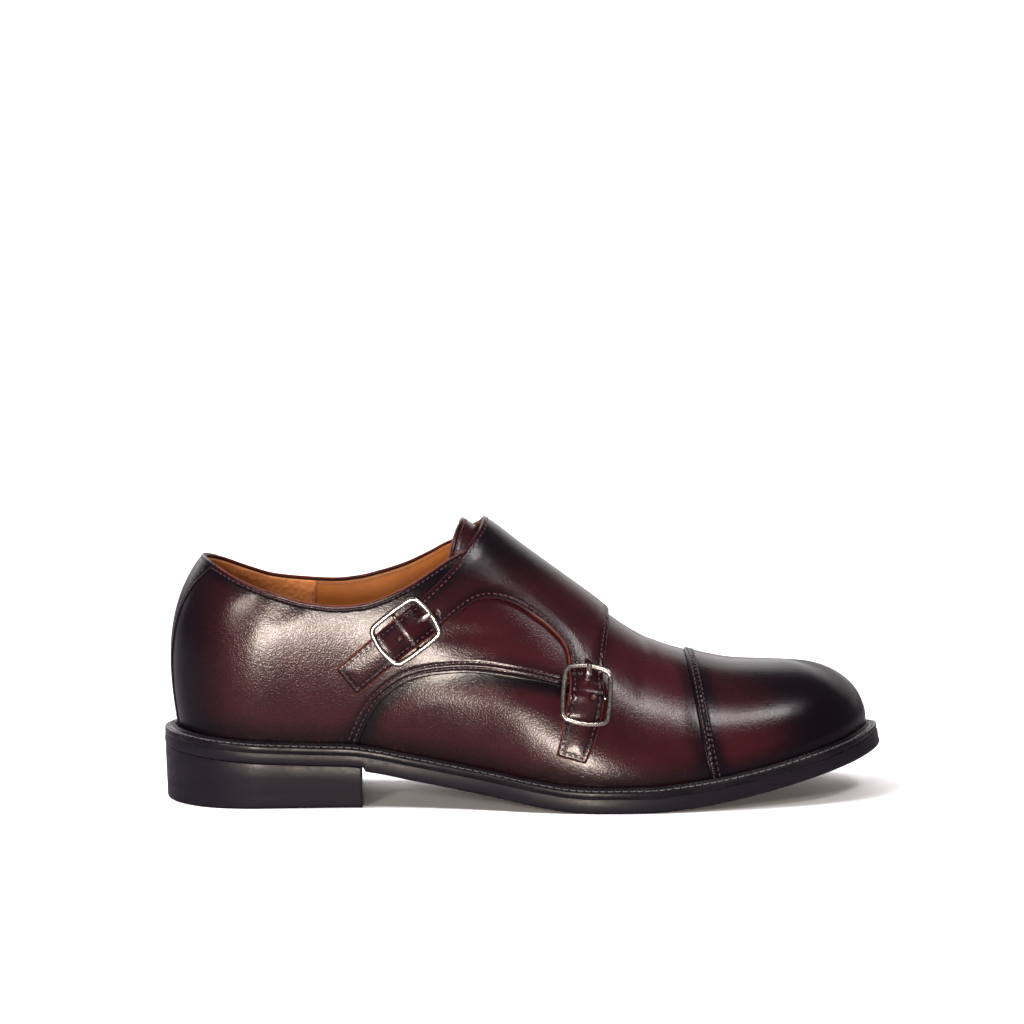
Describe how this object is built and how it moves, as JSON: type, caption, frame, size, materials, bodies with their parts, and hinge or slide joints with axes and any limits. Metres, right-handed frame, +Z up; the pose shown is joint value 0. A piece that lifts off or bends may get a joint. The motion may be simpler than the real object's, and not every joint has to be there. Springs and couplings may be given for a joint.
{
  "type": "monk strap shoe",
  "caption": "Low leather shoe, closed over the instep by a flap with buckled straps, with a toe cap, a stitched welt, and a block heel.",
  "frame": {"origin": "on the floor, under the middle of the shoe's length and width", "axes": "+X towards the toe, -Y towards the outer (lateral) side with the buckles, +Z up"},
  "size_m": [0.3, 0.1031, 0.1162],
  "materials": {
    "heel_rubber": "satin near-black",
    "sole_rubber": "satin dark grey",
    "welt_rubber": "near-black with stitching",
    "insole_leather": "tan smooth leather",
    "upper_leather": "polished burgundy",
    "cap_leather": "polished burgundy darkened towards the toe",
    "tongue_leather": "polished burgundy",
    "flap_leather": "polished burgundy",
    "steel": "polished"
  },
  "bodies": {
    "root": {"heel": "heel_rubber", "outsole": "sole_rubber", "welt": "welt_rubber", "insole": "insole_leather", "upper": "upper_leather", "toe_cap": "cap_leather", "tongue": "tongue_leather", "strap_flap": "flap_leather", "rear_buckle": "steel", "rear_prong": "steel", "front_buckle": "steel", "front_prong": "steel"}
  },
  "joints": []
}
